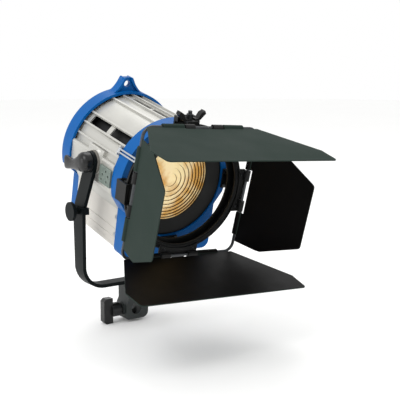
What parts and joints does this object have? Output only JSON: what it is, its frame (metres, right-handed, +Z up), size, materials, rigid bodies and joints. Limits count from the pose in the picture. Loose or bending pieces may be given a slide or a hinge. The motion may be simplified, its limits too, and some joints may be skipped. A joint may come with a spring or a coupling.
{
  "type": "fresnel spotlight",
  "caption": "Tungsten fresnel spotlight head with ribbed housing, hinged lens door, rotating four-leaf barndoor, tilt yoke and spigot socket.",
  "frame": {"origin": "mouth of the spigot socket, on the socket's axis", "axes": "+Z up along the socket, -Y the way the lamp looks, +X to the lamp's left hand side seen from behind it"},
  "size_m": [0.2628, 0.3578, 0.3424],
  "materials": {
    "cast_blue": "satin blue enamel on a pressure die casting",
    "shell_silver": "fine silver-grey hammer paint on aluminium",
    "panel_silver": "smooth light grey enamel on aluminium sheet",
    "vent_grey": "rough grey-green cast texture",
    "yoke_black": "semi-matt black powder coat on steel strap",
    "receptacle_grey": "textured dark grey powder coat on a casting",
    "black_metal": "matt heat-resistant black on sheet steel",
    "leaf_grey": "matt black paint, greyed by light, on sheet steel",
    "leaf_black": "matt black paint on sheet steel",
    "knob_black": "moulded glass-filled nylon",
    "bright_steel": "zinc-plated steel",
    "dark_steel": "black-oxide steel",
    "sheet_aluminium": "mill-finish aluminium",
    "washer_fibre": "pressed friction fibre",
    "brass": "turned brass",
    "reflector_mirror": "anodised spun aluminium mirror",
    "ceramic": "steatite ceramic",
    "bulb_glass": "clear quartz",
    "lens_glass": "pressed stepped borosilicate",
    "filament": "tungsten coil"
  },
  "bodies": {
    "yoke": {"yoke_strap": "yoke_black", "spigot_receptacle": "receptacle_grey", "receptacle_bolt": "dark_steel", "cable_peg": "yoke_black", "friction_washers": "washer_fibre"},
    "spigot_clamp": {"spigot_clamp_knob": "knob_black", "spigot_clamp_screw": "bright_steel"},
    "tilt_clamp": {"tilt_lever": "knob_black"},
    "head": {"rear_casting": "cast_blue", "rear_bulkhead": "black_metal", "rear_cover": "black_metal", "rear_cover_screws": "dark_steel", "top_shell": "shell_silver", "side_rail_left": "shell_silver", "side_rail_right": "shell_silver", "side_panel_left": "panel_silver", "side_panel_right": "panel_silver", "bottom_tray": "panel_silver", "heat_baffle": "black_metal", "vent_block_left": "vent_grey", "vent_block_right": "vent_grey", "pivot_studs": "bright_steel", "pivot_nut_right": "knob_black", "rod_support": "black_metal", "guide_rods": "bright_steel", "cable_gland": "knob_black", "casing_screws": "bright_steel", "door_hinge_bracket": "black_metal", "catch_lug": "shell_silver"},
    "catch": {"door_catch": "bright_steel"},
    "focus_drive": {"focus_spindle": "bright_steel", "focus_knob": "knob_black"},
    "lamp_carriage": {"carriage_plate": "sheet_aluminium", "carriage_nut": "brass", "reflector": "reflector_mirror", "lampholder": "ceramic", "bulb_base": "ceramic", "bulb_envelope": "bulb_glass", "bulb_filament": "filament"},
    "lens_door": {"front_casting": "cast_blue", "lens_ring": "black_metal", "lens": "lens_glass", "lens_clips": "bright_steel", "lens_guard": "dark_steel", "accessory_brackets": "black_metal", "bracket_screws": "dark_steel", "latch_base": "black_metal"},
    "top_latch": {"latch_plate": "black_metal", "latch_screw": "dark_steel"},
    "barndoor": {"barndoor_ring": "black_metal", "hinge_wire": "dark_steel", "lobe_rivets": "dark_steel"},
    "top_leaf": {"leaf_top": "leaf_grey"},
    "bottom_leaf": {"leaf_bottom": "leaf_black"},
    "left_leaf": {"leaf_left": "leaf_grey"},
    "right_leaf": {"leaf_right": "leaf_black"}
  },
  "joints": [
    {"name": "head_tilt", "type": "hinge", "parent": "yoke", "child": "head", "pos_m": [0, -0.051, 0.232], "axis": [1, 0, 0], "range_deg": [-90, 28]},
    {"name": "tilt_clamp_turn", "type": "hinge", "parent": "yoke", "child": "tilt_clamp", "pos_m": [-0.1, -0.051, 0.232], "axis": [1, 0, 0], "range_deg": [-60, 40]},
    {"name": "spigot_clamp_turn", "type": "hinge", "parent": "yoke", "child": "spigot_clamp", "pos_m": [-0.03, 0, 0.0145], "axis": [1, 0, 0], "range_deg": [-180, 180]},
    {"name": "lens_door_hinge", "type": "hinge", "parent": "head", "child": "lens_door", "pos_m": [0.0855, -0.09234, 0.21041], "axis": [0, -0.23, 0.9732], "range_deg": [0, 90]},
    {"name": "catch_lift", "type": "hinge", "parent": "head", "child": "catch", "pos_m": [-0.07268, -0.0985, 0.25035], "axis": [-0.4848, 0.2012, -0.8512], "range_deg": [0, 20], "stiffness_Nm_per_rad": 0.02},
    {"name": "focus_turn", "type": "hinge", "parent": "head", "child": "focus_drive", "pos_m": [0, 0.00227, 0.15879], "axis": [0, -0.9732, -0.23], "range_deg": [0, 720]},
    {"name": "carriage_slide", "type": "slide", "parent": "head", "child": "lamp_carriage", "axis": [0, -0.9732, -0.23], "range_m": [0, 0.04]},
    {"name": "latch_lift", "type": "hinge", "parent": "lens_door", "child": "top_latch", "pos_m": [0, -0.13921, 0.28955], "axis": [-1, 0, 0], "range_deg": [0, 45], "stiffness_Nm_per_rad": 0.03},
    {"name": "barndoor_turn", "type": "hinge", "parent": "lens_door", "child": "barndoor", "pos_m": [0, -0.13244, 0.20093], "axis": [0, -0.9732, -0.23], "continuous": true},
    {"name": "top_leaf_hinge", "type": "hinge", "parent": "barndoor", "child": "top_leaf", "pos_m": [0.00563, -0.16908, 0.27942], "axis": [-0.9978, -0.0152, 0.0645], "range_deg": [-15, 110]},
    {"name": "right_leaf_hinge", "type": "hinge", "parent": "barndoor", "child": "right_leaf", "pos_m": [0.08481, -0.14827, 0.1914], "axis": [0.0663, -0.2295, 0.971], "range_deg": [-99, 93]},
    {"name": "bottom_leaf_hinge", "type": "hinge", "parent": "barndoor", "child": "bottom_leaf", "pos_m": [-0.00563, -0.13005, 0.11435], "axis": [0.9978, 0.0152, -0.0645], "range_deg": [-15, 106]},
    {"name": "left_leaf_hinge", "type": "hinge", "parent": "barndoor", "child": "left_leaf", "pos_m": [-0.08481, -0.15086, 0.20236], "axis": [-0.0663, 0.2295, -0.971], "range_deg": [-89, 94]}
  ],
  "couplings": [
    {"joint": "focus_turn", "follows": "carriage_slide", "rad_per_m": 314.16}
  ]
}
